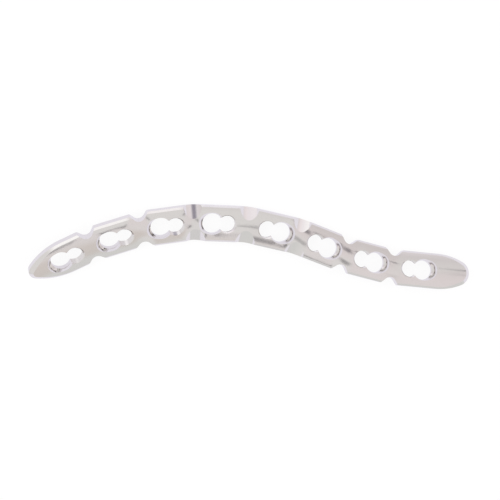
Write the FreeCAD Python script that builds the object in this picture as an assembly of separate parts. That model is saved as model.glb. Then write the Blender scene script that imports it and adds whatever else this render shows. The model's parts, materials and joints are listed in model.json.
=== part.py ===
import FreeCAD, Part
import math
import os

from FreeCAD import Placement, Rotation, Vector

# Long shape: the plate is straight around each hole, and bends and leans only in the necks between
pitch = 14.0            # from one hole to the next, along the plate
middle_pitch = 15.0     # the same over the middle neck, where the holes change hand
straight = 9.0          # unbent length around each hole
neck_bends = (-8.2, -9.6, -10.1, -10.8, -8.2, 6.4, 9.0)             # degrees in the plan, from the left
hole_leans = (21.4, 18.2, 9.1, -2.4, -2.5, -7.8, -12.0, -14.5)      # degrees about the long axis

# Section: crowned face, bevelled long edges, slightly hollow bone side
width = 9.8
thickness = 3.0
crown_drop = 0.6        # how much lower the face is at its edges than in the middle
bevel = 0.5
foot = 0.25             # small bevel on the bone side
hollow = 0.3

# Ends: the sides curve in to a round tip
left_reach = 11.1       # from the middle of the last hole to the tip
left_side_radius = 18.0
right_reach = 15.4
right_side_radius = 17.0
right_side_start = 6.0  # the broad end keeps its full width this far past its hole

# Combination hole: a round threaded lobe towards the middle of the plate, a compression lobe outwards
thread_bore = 4.6       # over the crests of the thread
slot_bore = 5.4
lobe_distance = 3.9
lead_in = 0.35          # countersink over the thread
head_radius = 3.0       # round seat for the head of a compression screw
ramp_run = 0.95         # how far the seat slides outwards
ramp_rise = 0.8         # and how much it climbs on the way

# Necks: cut through at the outer necks, scooped from the face at the three middle ones
scooped_necks = (2, 3, 4)
notch_depth = 1.9
notch_radius = 1.8
notch_flare = 42.0      # degrees between a flank and the plate's axis, past which it runs straight
scoop_radius = 3.5
scoop_fall = 34.0       # degrees below the face
scoop_land = 1.35       # from the middle of the plate to the tip of a scoop

# How closely the long surfaces follow the bends
follow = 0.001
follow_angle = 0.01

# How the twisted plate comes to rest on a table, in degrees
rest_roll = -4.7
rest_pitch = 0.3

half = width / 2
top = thickness / 2
shoulder = top - crown_drop - bevel
hole_count = len(hole_leans)
X, Y, Z = Vector(1, 0, 0), Vector(0, 1, 0), Vector(0, 0, 1)


def walk(frame, length, turn=0.0):
    """Carry a frame along an arc of this length that turns by this many degrees."""
    angle = math.radians(turn)
    if turn == 0:
        step = Vector(length, 0, 0)
    else:
        radius = length / angle
        step = Vector(radius * math.sin(angle), radius * (1 - math.cos(angle)), 0)
    return frame.multiply(Placement(step, Rotation(Z, turn)))


def leaned(frame, lean):
    """Turn a frame about the plate's long axis."""
    return frame.multiply(Placement(Vector(), Rotation(X, lean)))


def lay_out():
    """Frames of the holes, of the necks and of all stations between the end holes, from the left."""
    holes, necks, stations = [], [], []
    frame = Placement()
    for i, lean in enumerate(hole_leans):
        middle = walk(frame, straight / 2)
        holes.append(leaned(middle, lean))
        first = 2 if i == 0 else 0
        last = 2 if i == hole_count - 1 else 4
        stations += [leaned(walk(frame, straight * n / 4), lean) for n in range(first, last + 1)]
        if i == hole_count - 1:
            break
        spacing = middle_pitch if i == hole_count // 2 - 1 else pitch
        arc, bend = spacing - straight, neck_bends[i]
        neck = walk(walk(middle, straight / 2), arc / 2, bend / 2)
        necks.append(leaned(neck, (lean + hole_leans[i + 1]) / 2))
        stations.append(necks[-1])
        frame = walk(walk(middle, straight / 2), arc, bend)
    return holes, necks, stations


def section(frame):
    """Closed outline of the plate across its length."""
    right = [Vector(0, half - foot, -top), Vector(0, half, foot - top),
             Vector(0, half, shoulder), Vector(0, half - bevel, shoulder + bevel)]
    left = [Vector(0, -p.y, p.z) for p in reversed(right)]
    edges = [Part.makeLine(a, b) for a, b in zip(right, right[1:])]
    edges.append(Part.Arc(right[-1], Vector(0, 0, top), left[0]).toShape())
    edges += [Part.makeLine(a, b) for a, b in zip(left, left[1:])]
    edges.append(Part.Arc(left[-1], Vector(0, 0, hollow - top), right[0]).toShape())
    wire = Part.Wire(edges)
    wire.Placement = frame
    return wire


def guide(frames, offset):
    """Smooth curve through the same point of every frame."""
    curve = Part.BSplineCurve()
    curve.interpolate([f.multVec(offset) for f in frames])
    return Part.Wire([curve.toShape()])


def swept(frames):
    """Section carried along the plate, bending and leaning with the frames."""
    sweep = Part.BRepOffsetAPI.MakePipeShell(guide(frames, Vector()))
    sweep.setAuxiliarySpine(guide(frames, Y * half), False, 0)
    sweep.setTolerance(follow, follow, follow_angle)
    for end in (frames[0], frames[-1]):
        sweep.add(section(end), False, False)
    sweep.build()
    sweep.makeSolid()
    return sweep.shape()


def end_outline(reach, side_radius, start, inset, height):
    """Outline of an end that points along +x: straight sides, curved flanks and a round tip."""
    side, flank = half - inset, side_radius - inset
    length = reach - inset - start
    drop = flank - side
    tip = (flank ** 2 - drop ** 2 - length ** 2) / (2 * (flank - length))
    centre = Vector(start + length - tip, 0, height)
    pivot = Vector(start, -drop, height)
    joint = pivot + (centre - pivot).normalize() * flank
    between = pivot + (joint + Vector(start, side, height) - pivot * 2).normalize() * flank
    upper = [Vector(0, side, height), Vector(start, side, height), between, joint]
    lower = [Vector(p.x, -p.y, height) for p in upper]
    edges = [Part.Arc(upper[1], upper[2], upper[3]).toShape(),
             Part.Arc(joint, centre + X * tip, lower[3]).toShape(),
             Part.Arc(lower[3], lower[2], lower[1]).toShape()]
    if start > 0:
        edges = [Part.makeLine(upper[0], upper[1])] + edges + [Part.makeLine(lower[1], lower[0])]
    return Part.Wire(edges + [Part.makeLine(lower[0], upper[0])])


def end_piece(frame, reach, side_radius, start=0):
    """One end from the middle of its hole, with the bevels carried round the tip."""
    def slab(rise, level):
        """Solid of the outline, set in by rise for every millimetre over the level."""
        rings = [end_outline(reach, side_radius, start, rise * (z - level), z)
                 for z in (-top - foot / 2, top + foot / 2)]
        return Part.makeLoft(rings, True, True)

    crown = Part.Arc(Vector(0, bevel - half, shoulder + bevel), Vector(0, 0, top),
                     Vector(0, half - bevel, shoulder + bevel)).toShape().Curve
    under = Part.Arc(Vector(0, foot - half, -top), Vector(0, 0, hollow - top),
                     Vector(0, half - foot, -top)).toShape().Curve
    body = slab(0, 0).common(slab(1, shoulder)).common(slab(-1, foot - top))
    body = body.common(rod(crown.Radius, crown.Center - X * width, crown.Center + X * 3 * width))
    body = body.cut(rod(under.Radius, under.Center - X * width, under.Center + X * 3 * width))
    body = body.removeSplitter()
    body.Placement = frame
    return body


def rod(radius, start, end):
    """Round bar between two points."""
    return Part.makeCylinder(radius, (end - start).Length, start, end - start)


def combination_hole(frame, hand):
    """Both lobes of a hole and its ramp; hand is the x direction in which the compression lobe lies."""
    thread_at = Vector(-hand * lobe_distance / 2, 0, 0)
    slot_at = Vector(hand * lobe_distance / 2, 0, 0)
    thread = rod(thread_bore / 2, thread_at - Z * thickness, thread_at + Z * thickness)
    slot = rod(slot_bore / 2, slot_at - Z * thickness, slot_at + Z * thickness)
    cone = Part.makeCone(thread_bore / 2, thread_bore / 2 + 2 * lead_in, 2 * lead_in,
                         thread_at + Z * (top - lead_in))
    low = slot_at + Z * top
    high = low + Vector(hand * ramp_run, 0, ramp_rise)
    seat = [Part.makeSphere(head_radius, low), Part.makeSphere(head_radius, high),
            rod(head_radius, low, high)]
    hole = thread.fuse([slot, cone] + seat)
    hole.Placement = frame
    return hole


def notch(frame, hand):
    """Cut through the edge of a neck on one side: round bottom and flared flanks."""
    floor = half - notch_depth
    angle = math.radians(90 - notch_flare)
    centre = Vector(0, floor + notch_radius, 0)
    touch = centre + Vector(math.sin(angle), -math.cos(angle), 0) * notch_radius
    rise = half + bevel - touch.y
    mouth = Vector(touch.x + rise / math.tan(angle), half + bevel, 0)
    mirror = [Vector(-p.x, p.y, 0) for p in (touch, mouth)]
    wire = Part.Wire([Part.makeLine(mouth, touch),
                      Part.Arc(touch, Vector(0, floor, 0), mirror[0]).toShape(),
                      Part.makeLine(mirror[0], mirror[1]), Part.makeLine(mirror[1], mouth)])
    tool = Part.Face(wire).extrude(Z * 2 * thickness)
    tool.translate(Z * -thickness)
    tool.Placement = frame.multiply(Placement(Vector(), Rotation(Z, 0 if hand > 0 else 180))).multiply(
        tool.Placement)
    return tool


def scoop(frame, hand):
    """Slanting round cut from the face into the edge of a neck, short of the bone side."""
    fall = math.radians(scoop_fall)
    along = Vector(0, hand * math.cos(fall), -math.sin(fall))
    axis = Vector(0, hand * (scoop_land + scoop_radius * math.sin(fall)), top + scoop_radius * math.cos(fall))
    tool = rod(scoop_radius, axis - along * width, axis + along * width)
    tool.Placement = frame
    return tool


def plate():
    """The whole plate in one piece."""
    holes, necks, stations = lay_out()
    turned = holes[0].multiply(Placement(Vector(), Rotation(Z, 180)))
    body = swept(stations).fuse([
        end_piece(turned, left_reach, left_side_radius),
        end_piece(holes[-1], right_reach, right_side_radius, right_side_start)])
    tools = [combination_hole(frame, 1 if i >= hole_count // 2 else -1)
             for i, frame in enumerate(holes)]
    for i, frame in enumerate(necks):
        cut = scoop if i in scooped_necks else notch
        tools += [cut(frame, 1), cut(frame, -1)]
    body = body.cut(tools).removeSplitter().Solids[0]
    tips = [turned.multVec(X * left_reach), holes[-1].multVec(X * right_reach)]
    return body, tips[1] - tips[0]


def rested(body, chord):
    """Lay the plate on the table: tips along x, middle of its box over the origin."""
    heading = math.degrees(math.atan2(chord.y, chord.x))
    body.rotate(Vector(), Z, -heading)
    body.rotate(Vector(), X, rest_roll)
    body.rotate(Vector(), Y, rest_pitch)
    box = body.optimalBoundingBox(True, False)
    body.translate(Vector(-box.Center.x, -box.Center.y, -box.ZMin))
    return body


os.makedirs("parts", exist_ok=True)
rested(*plate()).exportStep("parts/plate.step")
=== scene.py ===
"""Polished steel bone plate with eight combination holes, lying on a pale table."""

import json
import logging
import math
from dataclasses import dataclass, field
from enum import Enum
from typing import Any, Iterable

import bpy
import numpy as np
from mathutils import Matrix, Vector

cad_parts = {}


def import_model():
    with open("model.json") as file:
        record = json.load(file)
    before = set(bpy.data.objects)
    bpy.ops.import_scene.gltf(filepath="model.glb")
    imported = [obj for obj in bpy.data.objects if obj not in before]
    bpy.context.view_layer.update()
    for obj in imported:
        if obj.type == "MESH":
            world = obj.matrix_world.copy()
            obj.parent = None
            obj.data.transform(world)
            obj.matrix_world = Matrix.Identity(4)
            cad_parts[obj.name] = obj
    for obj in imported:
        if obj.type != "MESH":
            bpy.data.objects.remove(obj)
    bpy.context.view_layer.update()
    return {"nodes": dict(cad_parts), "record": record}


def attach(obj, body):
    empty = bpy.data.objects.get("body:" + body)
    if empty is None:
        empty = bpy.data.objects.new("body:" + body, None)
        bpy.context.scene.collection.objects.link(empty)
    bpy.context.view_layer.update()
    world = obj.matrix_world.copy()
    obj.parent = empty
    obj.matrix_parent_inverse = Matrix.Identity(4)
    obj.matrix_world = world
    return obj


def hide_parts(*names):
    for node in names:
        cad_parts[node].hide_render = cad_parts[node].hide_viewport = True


MM = 0.001
TINY = 1e-9
TINY_SQUARE = 1e-12
LOG = logging.getLogger("bone_plate")


class Hand(Enum):
    """Side of a hole's middle on which its compression lobe lies, along the plate."""

    LEFT = -1
    RIGHT = 1


@dataclass(frozen=True)
class PlateSizes:
    """Sizes of the solid that its shading and its threads follow, in metres."""

    half_thickness: float = 1.5 * MM
    half_width: float = 4.9 * MM
    crown_drop: float = 0.6 * MM
    bevel: float = 0.5 * MM
    straight: float = 9.0 * MM
    locking_radius: float = 2.3 * MM
    slot_radius: float = 2.7 * MM
    lobe_distance: float = 3.9 * MM
    lead_in: float = 0.35 * MM
    head_radius: float = 3.0 * MM
    ramp_run: float = 0.95 * MM
    ramp_rise: float = 0.8 * MM
    scoop_radius: float = 3.5 * MM
    scoop_fall: float = math.radians(34)
    scoop_land: float = 1.35 * MM

    @property
    def crown_radius(self) -> float:
        """Radius of the crowned face across the plate."""
        reach = self.half_width - self.bevel
        return (reach ** 2 + self.crown_drop ** 2) / (2 * self.crown_drop)


def linear(hex_colour: str) -> tuple[float, float, float, float]:
    """Turn an sRGB hex colour into the linear colour that a shader takes.

    Args:
        hex_colour: Six hex digits, without a sign before them.

    Returns:
        Red, green, blue and an alpha of 1.
    """
    channels = [int(hex_colour[i:i + 2], 16) / 255 for i in (0, 2, 4)]
    flat = [c / 12.92 if c <= 0.04045 else ((c + 0.055) / 1.055) ** 2.4 for c in channels]
    return flat[0], flat[1], flat[2], 1.0


def add_node(tree: bpy.types.NodeTree, kind: str, settings: dict[str, Any] | None = None,
             **inputs: Any) -> bpy.types.Node:
    """Add a node to a tree with its settings and its links.

    Args:
        tree: Node tree that takes the node.
        kind: Type name of the node.
        settings: Values of the node's own properties.
        **inputs: Values or output sockets for its inputs. A number after an underscore, as in
            i_0, names an input by its place, and other names are those of the sockets with
            underscores for spaces.

    Returns:
        The new node.
    """
    node = tree.nodes.new(kind)
    for name, value in (settings or {}).items():
        setattr(node, name, value)
    for name, value in inputs.items():
        key = int(name[2:]) if name.startswith("i_") else name.replace("_", " ")
        if isinstance(value, bpy.types.NodeSocket):
            tree.links.new(value, node.inputs[key])
        else:
            node.inputs[key].default_value = value
    return node


def deselect() -> None:
    """Leave nothing selected and no object in edit mode."""
    if bpy.context.object and bpy.context.object.mode != "OBJECT":
        bpy.ops.object.mode_set(mode="OBJECT")
    bpy.ops.object.select_all(action="DESELECT")


def take(piece: bpy.types.Object) -> None:
    """Make a piece the only selected and the active object.

    Args:
        piece: Object to work on.
    """
    deselect()
    piece.select_set(True)
    bpy.context.view_layer.objects.active = piece


def values(rows: bpy.types.bpy_prop_collection, name: str, kind: type,
           width: int = 1) -> np.ndarray:
    """Read one value of every row of a mesh.

    Args:
        rows: The mesh's vertices, loops or polygons.
        name: Name of the value.
        kind: Number type of the value.
        width: How many numbers each row gives.

    Returns:
        The values, one row each where a row gives more than one number.
    """
    flat = np.empty(len(rows) * width, kind)
    rows.foreach_get(name, flat)
    return flat.reshape(-1, width) if width > 1 else flat


@dataclass(frozen=True)
class PolishedSteel:
    """Electropolished stainless steel: a soft mirror in pale grey, with a faint cloudiness and a fine
    grain.
    """

    steel: str = "EAE7E5"
    shade: str = "E3E0DE"
    roughness: float = 0.10
    roughness_swing: float = 0.04
    cloud_mm: float = 6.0
    cloud_detail: float = 3.0
    cloud_roughness: float = 0.55
    cloud_range: tuple[float, float] = (0.3, 0.7)
    grain_mm: float = 0.35
    grain_detail: float = 2.0
    grain_roughness: float = 0.5
    grain_bump: float = 0.05
    grain_height: float = 0.1

    def build(self, name: str) -> bpy.types.Material:
        """Make the material.

        Args:
            name: Name of the material.

        Returns:
            The finished material.
        """
        material = bpy.data.materials.new(name)
        material.use_nodes = True
        tree = material.node_tree
        tree.nodes.clear()
        place = add_node(tree, "ShaderNodeTexCoord").outputs["Object"]
        # electropolishing leaves a faint orange-peel cloudiness a few millimetres wide
        cloud = add_node(tree, "ShaderNodeTexNoise", Vector=place, Scale=1 / (self.cloud_mm * MM),
                         Detail=self.cloud_detail, Roughness=self.cloud_roughness)
        grain = add_node(tree, "ShaderNodeTexNoise", Vector=place, Scale=1 / (self.grain_mm * MM),
                         Detail=self.grain_detail, Roughness=self.grain_roughness)
        colour = add_node(tree, "ShaderNodeMix", {"data_type": "RGBA"},
                          i_0=cloud.outputs["Fac"], i_6=linear(self.steel), i_7=linear(self.shade))
        rough = add_node(tree, "ShaderNodeMapRange", Value=cloud.outputs["Fac"],
                         i_1=self.cloud_range[0], i_2=self.cloud_range[1],
                         i_3=self.roughness - self.roughness_swing / 2,
                         i_4=self.roughness + self.roughness_swing / 2)
        bump = add_node(tree, "ShaderNodeBump", Height=grain.outputs["Fac"],
                        Strength=self.grain_bump, Distance=self.grain_mm * MM * self.grain_height)
        shader = add_node(tree, "ShaderNodeBsdfPrincipled", Metallic=1.0,
                          Base_Color=colour.outputs[2], Roughness=rough.outputs[0],
                          Normal=bump.outputs[0])
        add_node(tree, "ShaderNodeOutputMaterial", Surface=shader.outputs[0])
        return material


@dataclass
class HoleFrame:
    """Where a combination hole stands: the middle between its lobes, at half the plate's thickness."""

    centre: Vector
    along: Vector
    across: Vector
    upward: Vector
    hand: Hand

    def at(self, along: float, across: float = 0.0, upward: float = 0.0) -> Vector:
        """Find a point that is given in this frame.

        Args:
            along: Distance towards the broad end.
            across: Distance to the side.
            upward: Distance out of the face.

        Returns:
            The point in the row's frame.
        """
        return self.centre + self.along * along + self.across * across + self.upward * upward


def hole_frames(mounts: Iterable[dict[str, Any]], sizes: PlateSizes) -> list[HoleFrame]:
    """Read the holes' frames from the record's mounts, from the plate's pointed end on.

    Args:
        mounts: The record's mounts.
        sizes: Sizes of the plate.

    Returns:
        One frame for each combination hole, all with their first axis towards the broad end.
    """
    by_name = {m["name"]: m for m in mounts}
    frames = []
    for i in range(1, len(by_name) // 2 + 1):
        locking, slot = by_name[f"locking_hole_{i}"], by_name[f"compression_hole_{i}"]
        upward = Vector(locking["axis"]).normalized()
        a, b = Vector(locking["pos_m"]), Vector(slot["pos_m"])
        # the wall of the locking lobe ends below the face by the depth of its lead-in
        rise = locking["dims"]["length_mm"] * MM / 2 + sizes.lead_in - sizes.half_thickness
        b = b - upward * (b - a).dot(upward)
        hand = Hand.RIGHT if b.x > a.x else Hand.LEFT
        along = ((b - a) * hand.value).normalized()
        centre = (a + b) / 2 + upward * rise
        frames.append(HoleFrame(centre, along, upward.cross(along), upward, hand))
    return frames


def neck_frame(before: HoleFrame, after: HoleFrame, straight: float) -> HoleFrame:
    """Find the frame in the middle of the bent neck between two holes.

    Args:
        before: Frame of the hole before the neck.
        after: Frame of the hole after it.
        straight: Unbent length around a hole.

    Returns:
        The neck's frame.
    """
    a, b = before.at(straight / 2), after.at(-straight / 2)
    bulge = (before.along - after.along).normalized()
    turn = before.along.angle(after.along)
    middle = (a + b) / 2 + bulge * ((b - a).length / 2 * math.tan(turn / 4))
    along = (before.along + after.along).normalized()
    across = (before.across + after.across).normalized()
    return HoleFrame(middle, along, across, along.cross(across), before.hand)


@dataclass
class RoundWall:
    """Inner wall of a round cut: all its points lie at one distance from a line or a short rod."""

    start: Vector
    end: Vector
    radius: float
    round_ends: bool = False

    def normals(self, points: np.ndarray) -> tuple[np.ndarray, np.ndarray]:
        """Work out the wall's normals next to some points.

        Args:
            points: Points on or near the plate, one row each.

        Returns:
            The unit normals, towards the rod, and how far each point lies off the wall.
        """
        start, rod = np.array(self.start), np.array(self.end - self.start)
        share = (points - start) @ rod / (rod @ rod)
        if self.round_ends:
            share = np.clip(share, 0, 1)
        inward = start + share[:, None] * rod - points
        reach = np.maximum(np.linalg.norm(inward, axis=1), TINY)
        return inward / reach[:, None], reach - self.radius


@dataclass
class CrownedFace:
    """The crowned face as one smooth surface along the plate."""

    holes: list[HoleFrame]
    sizes: PlateSizes
    overhang: float = 18.0 * MM
    step: float = 0.04 * MM
    parts: int = 4
    batch: int = 512

    def stations(self) -> tuple[np.ndarray, np.ndarray]:
        """List the middle line's points and the sideways directions there.

        Returns:
            Points and unit vectors, one row each.
        """
        points, sides = [], []
        last = len(self.holes) - 1
        for i, hole in enumerate(self.holes):
            # the bending part of the plate runs from the middle of its first hole to that of its last
            first = self.parts // 2 if i == 0 else 0
            final = self.parts // 2 if i == last else self.parts
            for part in range(first, final + 1):
                points.append(hole.at((part / self.parts - 0.5) * self.sizes.straight))
                sides.append(hole.across)
            if i < last:
                neck = neck_frame(hole, self.holes[i + 1], self.sizes.straight)
                points.append(neck.centre)
                sides.append(neck.across)
        return np.array(points), np.array(sides)

    @staticmethod
    def spline(places: np.ndarray, rows: np.ndarray,
               at: np.ndarray) -> tuple[np.ndarray, np.ndarray]:
        """Run a natural cubic spline through rows of values.

        Args:
            places: Place of each row along the curve.
            rows: Values to pass through.
            at: Places to read.

        Returns:
            Values and slopes at those places.
        """
        gaps = np.diff(places)
        count = len(places)
        system, right = np.eye(count), np.zeros((count, rows.shape[1]))
        for i in range(1, count - 1):
            system[i, i - 1:i + 2] = gaps[i - 1], 2 * (gaps[i - 1] + gaps[i]), gaps[i]
            ahead, back = rows[i + 1] - rows[i], rows[i] - rows[i - 1]
            right[i] = 6 * (ahead / gaps[i] - back / gaps[i - 1])
        curve = np.linalg.solve(system, right)
        cell = np.clip(np.searchsorted(places, at) - 1, 0, count - 2)
        gap = gaps[cell][:, None]
        back = places[cell + 1][:, None] - at[:, None]
        ahead = at[:, None] - places[cell][:, None]
        low, high = rows[cell], rows[cell + 1]
        bend_low, bend_high = curve[cell], curve[cell + 1]
        found = (bend_low * back ** 3 + bend_high * ahead ** 3) / (6 * gap)
        from_low, from_high = low / gap - bend_low * gap / 6, high / gap - bend_high * gap / 6
        found += from_low * back + from_high * ahead
        slopes = (bend_high * ahead ** 2 - bend_low * back ** 2) / (2 * gap)
        slopes += (high - low) / gap - (bend_high - bend_low) * gap / 6
        return found, slopes

    def sample(self) -> tuple[np.ndarray, np.ndarray, np.ndarray, np.ndarray]:
        """Sample the middle line finely, with its straight ends.

        Returns:
            Points, the line's slopes, the sideways directions and their slopes.
        """
        points, sides = self.stations()
        places = np.concatenate(([0], np.cumsum(np.linalg.norm(np.diff(points, axis=0), axis=1))))
        at = np.arange(-self.overhang, places[-1] + self.overhang, self.step)
        inside = np.clip(at, 0, places[-1])
        middle, heading = self.spline(places, points, inside)
        across, veer = self.spline(places, sides, inside)
        beyond = (at - inside)[:, None]
        ends = np.where(beyond < 0, np.array(self.holes[0].along), np.array(self.holes[-1].along))
        middle = middle + beyond * ends
        outside = beyond[:, 0] != 0
        heading[outside], veer[outside] = ends[outside], 0
        across[at < 0] = np.array(self.holes[0].across)
        across[at > places[-1]] = np.array(self.holes[-1].across)
        return middle, heading, across, veer

    def normals(self, points: np.ndarray) -> tuple[np.ndarray, np.ndarray]:
        """Work out the face's normals next to some points.

        Args:
            points: Points on or near the plate, one row each.

        Returns:
            The unit normals, and how far each point stands above the face.
        """
        middle, heading, across, veer = self.sample()
        nearest = np.empty(len(points), int)
        for i in range(0, len(points), self.batch):
            gap = points[i:i + self.batch, None, :] - middle[None, :, :]
            nearest[i:i + self.batch] = (gap ** 2).sum(2).argmin(1)
        centre, ahead = middle[nearest], heading[nearest]
        side, swing = across[nearest], veer[nearest]
        ahead = ahead / np.linalg.norm(ahead, axis=1, keepdims=True)
        side = side - ahead * (side * ahead).sum(1, keepdims=True)
        side /= np.linalg.norm(side, axis=1, keepdims=True)
        upward = np.cross(ahead, side)
        offset = ((points - centre) * side).sum(1)
        height = ((points - centre) * upward).sum(1)
        radius = self.sizes.crown_radius
        fall = np.sqrt(np.maximum(radius ** 2 - offset ** 2, TINY_SQUARE))
        crown = self.sizes.half_thickness - radius + fall
        lift = -(swing * upward).sum(1)
        forward = ahead + swing * offset[:, None] + side * (lift * crown)[:, None]
        sideways = side - upward * (offset / fall)[:, None]
        normal = np.cross(forward, sideways)
        return normal / np.linalg.norm(normal, axis=1, keepdims=True), height - crown


@dataclass
class ThreadCutter:
    """Tap for one locking lobe: a helical rib that leaves the lobe through its open side.

    The rib's half heights at its root and at its crest are shares of the pitch.
    """

    hole: HoleFrame
    sizes: PlateSizes
    pitch: float = 0.6 * MM
    depth: float = 0.2 * MM
    inside: float = 0.1 * MM
    root_half: float = 0.4
    crest_half: float = 0.06
    flare: float = 0.46
    open_angle: float = math.radians(28)
    steps: int = 40
    turns: int = 6

    def build(self) -> bpy.types.Object:
        """Model the tap round the world's axis and put it in its lobe.

        Returns:
            The tap, which is deleted after its cut.
        """
        deselect()
        bpy.ops.mesh.primitive_plane_add(size=self.pitch, location=(0, 0, 0))
        tap = bpy.context.object
        angle = 2 * math.pi - 2 * self.open_angle
        inner = self.sizes.locking_radius - self.inside
        outer = self.sizes.locking_radius + self.depth
        root = self.root_half + self.flare * self.inside / self.depth / 3
        crest = self.crest_half
        profile = [(inner, -root), (outer, -crest), (inner, root), (outer, crest)]
        turn = Matrix.Rotation(self.open_angle, 4, "Z")
        low = -self.turns * self.pitch / 2
        for vertex, (radius, height) in zip(tap.data.vertices, profile):
            vertex.co = turn @ Vector((radius, 0, low + height * self.pitch))
        bpy.ops.object.mode_set(mode="EDIT")
        bpy.ops.mesh.select_all(action="SELECT")
        bpy.ops.mesh.delete(type="ONLY_FACE")
        bpy.ops.object.mode_set(mode="OBJECT")
        helix = tap.modifiers.new("helix", "SCREW")
        helix.axis = "Z"
        helix.angle = angle
        helix.steps = helix.render_steps = self.steps
        helix.screw_offset = self.pitch * angle / (2 * math.pi)
        helix.use_smooth_shade = False
        bpy.ops.object.modifier_apply(modifier=helix.name)
        bpy.ops.object.mode_set(mode="EDIT")
        bpy.ops.mesh.select_all(action="SELECT")
        bpy.ops.mesh.fill_holes(sides=4)
        bpy.ops.object.mode_set(mode="OBJECT")
        rows = tap.modifiers.new("turns", "ARRAY")
        rows.count = self.turns
        rows.use_relative_offset = False
        rows.use_constant_offset = True
        rows.constant_offset_displace = (0, 0, self.pitch)
        bpy.ops.object.modifier_apply(modifier=rows.name)
        bpy.ops.object.mode_set(mode="EDIT")
        bpy.ops.mesh.select_all(action="SELECT")
        bpy.ops.mesh.normals_make_consistent(inside=False)
        bpy.ops.object.mode_set(mode="OBJECT")
        hand = self.hole.hand.value
        centre = self.hole.at(-hand * self.sizes.lobe_distance / 2)
        axes = Matrix((self.hole.along * hand, self.hole.across * hand, self.hole.upward))
        tap.data.transform(Matrix.Translation(centre) @ axes.transposed().to_4x4())
        return tap


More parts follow.
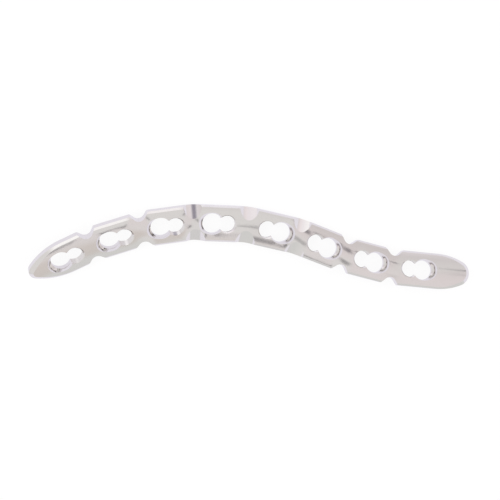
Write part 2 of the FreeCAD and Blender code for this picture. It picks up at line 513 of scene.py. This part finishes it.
@dataclass
class PlateBody:
    """The plate itself: its solid with merged faces, cut threads and exactly shaded surfaces."""

    node: bpy.types.Object
    holes: list[HoleFrame]
    sizes: PlateSizes
    finish: bpy.types.Material
    scooped_necks: tuple[int, ...] = (2, 3, 4)
    merge: float = 0.001 * MM
    crease: float = math.radians(30)
    near: float = 0.03 * MM
    facing: float = 0.93
    seat_cuts: int = 2

    def build(self) -> bpy.types.Object:
        """Make the shown plate from the solid.

        Returns:
            The finished piece.
        """
        body = self.node.copy()
        body.data = self.node.data.copy()
        body.name = "bone_plate_body"
        for key in list(body.keys()):
            del body[key]
        body.parent = None
        bpy.context.scene.collection.objects.link(body)
        body.data.materials.clear()
        body.data.materials.append(self.finish)
        take(body)
        bpy.ops.mesh.customdata_custom_splitnormals_clear()
        bpy.ops.object.mode_set(mode="EDIT")
        bpy.ops.mesh.select_all(action="SELECT")
        bpy.ops.mesh.remove_doubles(threshold=self.merge)
        bpy.ops.object.mode_set(mode="OBJECT")
        self.cut_threads(body)
        self.round_seats(body)
        self.shade(body)
        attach(body, "root")
        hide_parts("plate")
        return body

    def cut_threads(self, body: bpy.types.Object) -> None:
        """Cut the thread of every locking lobe.

        Args:
            body: The plate with merged faces.
        """
        for hole in self.holes:
            tap = ThreadCutter(hole, self.sizes).build()
            take(body)
            cut = body.modifiers.new("thread", "BOOLEAN")
            cut.operation = "DIFFERENCE"
            cut.solver = "EXACT"
            cut.object = tap
            bpy.ops.object.modifier_apply(modifier=cut.name)
            bpy.data.objects.remove(tap)
            LOG.info("thread cut, %d faces", len(body.data.polygons))

    def surfaces(self) -> list[RoundWall | CrownedFace]:
        """List the plate's smooth surfaces.

        Returns:
            The crowned face, the walls and ramps of the holes and the scoops of the middle necks.
        """
        sizes = self.sizes
        found: list[RoundWall | CrownedFace] = [CrownedFace(self.holes, sizes)]
        for hole in self.holes:
            hand = hole.hand.value
            middle = hand * sizes.lobe_distance / 2
            face = sizes.half_thickness
            for place, radius in ((-middle, sizes.locking_radius), (middle, sizes.slot_radius)):
                found.append(RoundWall(hole.at(place), hole.at(place, upward=face), radius))
            ramp_start = hole.at(middle, upward=face)
            ramp_end = hole.at(middle + hand * sizes.ramp_run, upward=face + sizes.ramp_rise)
            found.append(RoundWall(ramp_start, ramp_end, sizes.head_radius, round_ends=True))
        out, down = math.cos(sizes.scoop_fall), math.sin(sizes.scoop_fall)
        for i in self.scooped_necks:
            neck = neck_frame(self.holes[i], self.holes[i + 1], sizes.straight)
            for side in (1, -1):
                across = side * (sizes.scoop_land + sizes.scoop_radius * down)
                start = neck.at(0, across, sizes.half_thickness + sizes.scoop_radius * out)
                fall = neck.across * (side * out) - neck.upward * down
                found.append(RoundWall(start, start + fall * sizes.half_width, sizes.scoop_radius))
        return found

    def lies_on(self, mesh: bpy.types.Mesh,
                surface: RoundWall | CrownedFace) -> tuple[list[int], np.ndarray]:
        """Find the faces that lie on a smooth surface.

        Args:
            mesh: The plate's mesh.
            surface: The surface.

        Returns:
            Numbers of the faces, and the surface's normals at all vertices.
        """
        places = values(mesh.vertices, "co", np.float32, 3).astype(float)
        normals, heights = surface.normals(places)
        corners = values(mesh.loops, "vertex_index", np.int32)
        starts = values(mesh.polygons, "loop_start", np.int32)
        flats = np.repeat(values(mesh.polygons, "normal", np.float32, 3),
                          values(mesh.polygons, "loop_total", np.int32), axis=0)
        off = np.maximum.reduceat(np.abs(heights)[corners], starts)
        facing = np.minimum.reduceat((normals[corners] * flats).sum(1), starts)
        return np.nonzero((off < self.near) & (facing > self.facing))[0].tolist(), normals

    def round_seats(self, body: bpy.types.Object) -> None:
        """Divide the faces of the round seats and ramps, and move the new points onto the true round.

        Args:
            body: The plate with its threads.
        """
        mesh = body.data
        for seat in [s for s in self.surfaces() if isinstance(s, RoundWall) and s.round_ends]:
            take(body)
            bpy.ops.object.mode_set(mode="EDIT")
            bpy.ops.mesh.select_mode(type="FACE")
            bpy.ops.mesh.select_all(action="DESELECT")
            bpy.ops.object.mode_set(mode="OBJECT")
            count = len(mesh.vertices)
            for index in self.lies_on(mesh, seat)[0]:
                mesh.polygons[index].select = True
            bpy.ops.object.mode_set(mode="EDIT")
            bpy.ops.mesh.subdivide(number_cuts=self.seat_cuts)
            bpy.ops.object.mode_set(mode="OBJECT")
            inside = set(self.lies_on(mesh, seat)[0])
            rim = {v for p in mesh.polygons if p.index not in inside for v in p.vertices}
            new = [v for v in mesh.vertices if v.index >= count and v.index not in rim]
            if new:
                inward, heights = seat.normals(np.array([v.co for v in new]))
                for vertex, move in zip(new, inward * heights[:, None]):
                    vertex.co += Vector(move)
        mesh.update()
        LOG.info("seats rounded, %d faces", len(mesh.polygons))

    def shade(self, body: bpy.types.Object) -> None:
        """Shade every face that lies on a smooth surface with that surface's own normals.

        Args:
            body: The plate with its threads.
        """
        mesh = body.data
        owner = np.full(len(mesh.polygons), -1)
        exact: dict[int, Vector] = {}
        for number, surface in enumerate(self.surfaces()):
            found, normals = self.lies_on(mesh, surface)
            for index in found:
                if owner[index] >= 0:
                    continue
                owner[index] = number
                polygon = mesh.polygons[index]
                for corner, vertex in zip(polygon.loop_indices, polygon.vertices):
                    exact[corner] = normals[vertex]
        take(body)
        bpy.ops.object.shade_smooth_by_angle(angle=self.crease)
        sides: dict[tuple[int, int], set[int]] = {}
        for polygon in mesh.polygons:
            for edge in polygon.edge_keys:
                sides.setdefault(edge, set()).add(int(owner[polygon.index]))
        for edge in mesh.edges:
            if len(sides[tuple(sorted(edge.vertices))]) > 1:
                edge.use_edge_sharp = True
        mesh.update()
        corners = [tuple(exact.get(i, n.vector)) for i, n in enumerate(mesh.corner_normals)]
        mesh.normals_split_custom_set(corners)
        LOG.info("shading: %d of %d faces lie on smooth surfaces", int((owner >= 0).sum()), len(owner))


@dataclass(frozen=True)
class Softbox:
    """A soft lamp that points at the plate."""

    place: tuple[float, float, float]
    width: float
    height: float
    power: float


@dataclass(frozen=True)
class Card:
    """Soft-edged patch on the tent that the polished steel mirrors.

    Its place is on the tent laid out flat: x and y of a direction, each over its z and one.
    """

    centre: tuple[float, float]
    radii: tuple[float, float]
    colour: str
    slant: float = 0.0
    weight: float = 1.0
    softness: float = 0.5


@dataclass
class Studio:
    """Pale table, a bright tent of two cloths with cards pinned to it, and two soft lamps.

    The cloths meet in a slanting seam. Their stops run from the front edge to the back edge.
    """

    table_size: float = 6.0
    table_colour: str = "6E6E6E"
    table_glow: float = 0.86
    table_mirrored: str = "F5F3FE"
    lamps: tuple[Softbox, ...] = (Softbox((-0.68, 0.24, 0.70), 0.90, 0.55, 1.95),
                                  Softbox((0.80, 0.20, 0.56), 0.60, 0.50, 1.2))
    tent_level: float = 1.2
    tent_edge: float = 1.2
    lowest_depth: float = 0.1
    left_cloth: tuple[tuple[float, str], ...] = (
        (-0.9, "D0D0D1"), (-0.58, "D2D3D2"), (-0.4, "DBDADA"), (0.2, "DAD9D8"),
        (0.4, "D0CCCD"), (0.63, "E9E3E8"), (0.95, "FFFFFF"))
    right_cloth: tuple[tuple[float, str], ...] = (
        (-0.9, "D0D0D1"), (-0.58, "D2D3D2"), (-0.4, "DBDADA"), (0.05, "DCD5D6"),
        (0.38, "CDC8C8"), (0.63, "ECE5E8"), (0.95, "FFFFFF"))
    seam_middle: float = 0.118
    seam_slant: float = 0.36
    seam_half: float = 0.01
    cards: tuple[Card, ...] = (
        Card((0.050, -0.200), (0.008, 0.045), "403C46", slant=0.15),
        Card((0.097, 0.000), (0.009, 0.030), "302C38", slant=0.7, weight=0.85),
        Card((0.222, 0.178), (0.012, 0.034), "504C56", slant=0.63),
        Card((0.209, 0.232), (0.010, 0.012), "504C56"),
        Card((-0.05, 0.54), (0.24, 0.05), "908C98"),
        Card((0.14, -0.41), (0.07, 0.15), "BBADA2", slant=-0.35, weight=0.4),
        Card((-0.21, 0.36), (0.16, 0.13), "FFFFFF"),
        Card((-0.07, 0.635), (0.07, 0.03), "FFFFFF"))

    def table(self) -> bpy.types.Object:
        """Build the table.

        Returns:
            The table's plane.
        """
        deselect()
        bpy.ops.mesh.primitive_plane_add(size=self.table_size, location=(0, 0, 0))
        table = bpy.context.object
        table.name = "table"
        material = bpy.data.materials.new("matt white table")
        material.use_nodes = True
        tree = material.node_tree
        tree.nodes.clear()
        lit = add_node(tree, "ShaderNodeBsdfDiffuse", Color=linear(self.table_colour))
        ray = add_node(tree, "ShaderNodeLightPath")
        # the table glows to the camera and in the steel's mirror, and lights nothing itself
        seen = add_node(tree, "ShaderNodeMath", {"operation": "MAXIMUM"},
                        i_0=ray.outputs["Is Camera Ray"], i_1=ray.outputs["Is Glossy Ray"])
        share = add_node(tree, "ShaderNodeMath", {"operation": "MULTIPLY"}, i_0=seen.outputs[0],
                         i_1=self.table_glow)
        tint = add_node(tree, "ShaderNodeMix", {"data_type": "RGBA"},
                        i_0=ray.outputs["Is Glossy Ray"],
                        i_6=linear("FFFFFF"), i_7=linear(self.table_mirrored))
        glow = add_node(tree, "ShaderNodeEmission", Color=tint.outputs[2], Strength=share.outputs[0])
        total = add_node(tree, "ShaderNodeAddShader", i_0=lit.outputs[0], i_1=glow.outputs[0])
        add_node(tree, "ShaderNodeOutputMaterial", Surface=total.outputs[0])
        table.data.materials.append(material)
        return table

    def light(self) -> None:
        """Hang the lamps."""
        for i, box in enumerate(self.lamps):
            data = bpy.data.lights.new(f"softbox_{i + 1}", "AREA")
            data.shape = "RECTANGLE"
            data.size, data.size_y = box.width, box.height
            data.energy = box.power
            lamp = bpy.data.objects.new(data.name, data)
            lamp.location = box.place
            lamp.rotation_euler = (-Vector(box.place)).to_track_quat("-Z", "Y").to_euler()
            # the lamps stand outside the tent, so the steel mirrors its cloth and not them
            lamp.visible_glossy = False
            bpy.context.scene.collection.objects.link(lamp)

    def cloth(self, tree: bpy.types.NodeTree, deep: bpy.types.NodeSocket,
              stops: tuple[tuple[float, str], ...]) -> bpy.types.NodeSocket:
        """Colour one cloth of the tent from its front edge to its back edge.

        Args:
            tree: The world's nodes.
            deep: Place from front to back.
            stops: Places and their colours.

        Returns:
            The cloth's colour.
        """
        share = add_node(tree, "ShaderNodeMapRange", Value=deep, i_1=-self.tent_edge,
                         i_2=self.tent_edge, i_3=0.0, i_4=1.0)
        node = add_node(tree, "ShaderNodeValToRGB", Fac=share.outputs[0])
        ramp = node.color_ramp
        while len(ramp.elements) < len(stops):
            ramp.elements.new(0.5)
        for element, (at, colour) in zip(ramp.elements, stops):
            element.position = (at / self.tent_edge + 1) / 2
            element.color = linear(colour)
        return node.outputs["Color"]

    @staticmethod
    def off_line(tree: bpy.types.NodeTree, wide: bpy.types.NodeSocket, deep: bpy.types.NodeSocket,
                 slant: float, middle: float) -> bpy.types.NodeSocket:
        """Measure how far a direction lies to the right of a slanting line on the tent.

        Args:
            tree: The world's nodes.
            wide: Place from left to right.
            deep: Place from front to back.
            slant: How far the line moves right on its way back.
            middle: Where the line crosses the middle.

        Returns:
            The distance.
        """
        line = add_node(tree, "ShaderNodeMath", {"operation": "MULTIPLY_ADD"}, i_0=deep, i_1=slant,
                        i_2=middle)
        off = add_node(tree, "ShaderNodeMath", {"operation": "SUBTRACT"}, i_0=wide,
                       i_1=line.outputs[0])
        return off.outputs[0]

    def pin(self, tree: bpy.types.NodeTree, wide: bpy.types.NodeSocket, deep: bpy.types.NodeSocket,
            below: bpy.types.NodeSocket, card: Card) -> bpy.types.NodeSocket:
        """Lay a card over the tent's colours.

        Args:
            tree: The world's nodes.
            wide: Place from left to right.
            deep: Place from front to back.
            below: Colour so far.
            card: The card.

        Returns:
            The colour with the card.
        """
        middle = card.centre[0] - card.slant * card.centre[1]
        off = self.off_line(tree, wide, deep, card.slant, middle)
        across = add_node(tree, "ShaderNodeMath", {"operation": "DIVIDE"}, i_0=off,
                          i_1=card.radii[0])
        along = add_node(tree, "ShaderNodeMath", {"operation": "SUBTRACT"}, i_0=deep,
                         i_1=card.centre[1])
        along = add_node(tree, "ShaderNodeMath", {"operation": "DIVIDE"}, i_0=along.outputs[0],
                         i_1=card.radii[1])
        spot = add_node(tree, "ShaderNodeCombineXYZ", X=across.outputs[0], Y=along.outputs[0])
        reach = add_node(tree, "ShaderNodeVectorMath", {"operation": "LENGTH"}, i_0=spot.outputs[0])
        cover = add_node(tree, "ShaderNodeMapRange", {"interpolation_type": "SMOOTHSTEP"},
                         Value=reach.outputs["Value"], i_1=1 - card.softness, i_2=1 + card.softness,
                         i_3=card.weight, i_4=0.0)
        return add_node(tree, "ShaderNodeMix", {"data_type": "RGBA"}, i_0=cover.outputs[0], i_6=below,
                        i_7=linear(card.colour)).outputs[2]

    def tent(self) -> None:
        """Light the world as the inside of a light tent, and leave it white to the camera."""
        world = bpy.data.worlds.new("light tent")
        bpy.context.scene.world = world
        world.use_nodes = True
        tree = world.node_tree
        tree.nodes.clear()
        way = add_node(tree, "ShaderNodeTexCoord").outputs["Generated"]
        axes = add_node(tree, "ShaderNodeSeparateXYZ", Vector=way)
        depth = add_node(tree, "ShaderNodeMath", {"operation": "ADD"}, i_0=axes.outputs["Z"],
                         i_1=1.0)
        safe = add_node(tree, "ShaderNodeMath", {"operation": "MAXIMUM"}, i_0=depth.outputs[0],
                        i_1=self.lowest_depth)
        wide, deep = (add_node(tree, "ShaderNodeMath", {"operation": "DIVIDE"},
                               i_0=axes.outputs[axis], i_1=safe.outputs[0]).outputs[0]
                      for axis in "XY")
        off = self.off_line(tree, wide, deep, self.seam_slant, self.seam_middle)
        side = add_node(tree, "ShaderNodeMapRange", Value=off, i_1=-self.seam_half,
                        i_2=self.seam_half, i_3=0.0, i_4=1.0)
        colour = add_node(tree, "ShaderNodeMix", {"data_type": "RGBA"}, i_0=side.outputs[0],
                          i_6=self.cloth(tree, deep, self.left_cloth),
                          i_7=self.cloth(tree, deep, self.right_cloth)).outputs[2]
        for card in self.cards:
            colour = self.pin(tree, wide, deep, colour, card)
        inside = add_node(tree, "ShaderNodeBackground", Color=colour, Strength=self.tent_level)
        white = add_node(tree, "ShaderNodeBackground", Color=linear("FFFFFF"), Strength=1.0)
        ray = add_node(tree, "ShaderNodeLightPath")
        back = add_node(tree, "ShaderNodeMixShader", i_0=ray.outputs["Is Camera Ray"],
                        i_1=inside.outputs[0], i_2=white.outputs[0])
        add_node(tree, "ShaderNodeOutputWorld", Surface=back.outputs[0])


@dataclass
class PhotoCamera:
    """Camera above the plate, found by setting its edges and holes against the photograph."""

    right: Vector = field(default_factory=lambda: Vector((0.98910, 0.04405, 0.14048)))
    up: Vector = field(default_factory=lambda: Vector((-0.00527, 0.96417, -0.26522)))
    back: Vector = field(default_factory=lambda: Vector((-0.14714, 0.26159, 0.95390)))
    distance: float = 341.9 * MM
    lens: float = 89.914
    shift: tuple[float, float] = (-0.00721, -0.01017)
    nearest: float = 0.01
    farthest: float = 20.0

    def build(self) -> bpy.types.Object:
        """Make the camera and show the scene through it.

        Returns:
            The camera.
        """
        data = bpy.data.cameras.new("camera")
        data.lens = self.lens
        data.shift_x, data.shift_y = self.shift
        data.clip_start, data.clip_end = self.nearest, self.farthest
        camera = bpy.data.objects.new("camera", data)
        turn = Matrix((self.right, self.up, self.back)).transposed().to_4x4()
        camera.matrix_world = Matrix.Translation(self.back * self.distance) @ turn
        bpy.context.scene.collection.objects.link(camera)
        bpy.context.scene.camera = camera
        return camera


def main() -> None:
    """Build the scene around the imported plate."""
    logging.basicConfig(level=logging.INFO, format="%(name)s: %(message)s")
    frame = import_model()
    bpy.context.scene.view_settings.view_transform = "Standard"
    steel = PolishedSteel().build("electropolished stainless steel")
    sizes = PlateSizes()
    holes = hole_frames(frame["record"]["mounts"], sizes)
    body = PlateBody(frame["nodes"]["plate"], holes, sizes, steel).build()
    LOG.info("%s: %d faces", body.name, len(body.data.polygons))
    studio = Studio()
    studio.table()
    studio.light()
    studio.tent()
    PhotoCamera().build()


if __name__ == "__main__":
    main()
